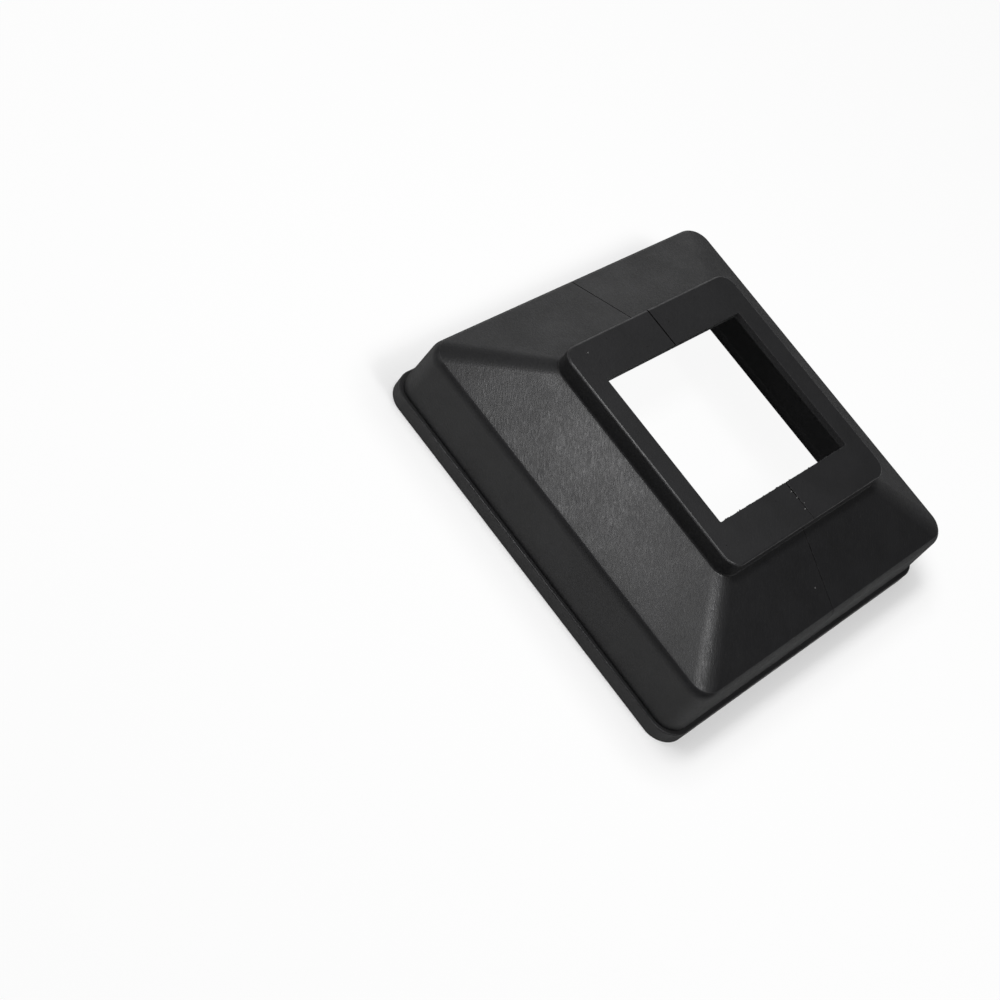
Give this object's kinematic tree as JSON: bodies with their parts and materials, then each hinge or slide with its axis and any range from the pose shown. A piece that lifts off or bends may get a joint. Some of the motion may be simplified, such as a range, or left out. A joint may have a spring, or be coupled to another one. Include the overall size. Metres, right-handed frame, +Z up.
{
  "type": "post protector",
  "caption": "Low square skirt in black plastic that clips together round a post's foot: raised collar, hipped slopes, upright walls and a stepped rim.",
  "frame": {"origin": "centre of the cover on the ground, on the post's axis", "axes": "+Z up along the post; the seam between the halves lies in the plane X = 0 and crosses the two sides that face +Y and -Y; +X is the side of the right half"},
  "size_m": [0.234, 0.234, 0.0715],
  "materials": {
    "cover": "satin black injection-moulded plastic with a fine moulded grain"
  },
  "bodies": {
    "root": {"right_half": "cover", "left_half": "cover"}
  },
  "joints": []
}
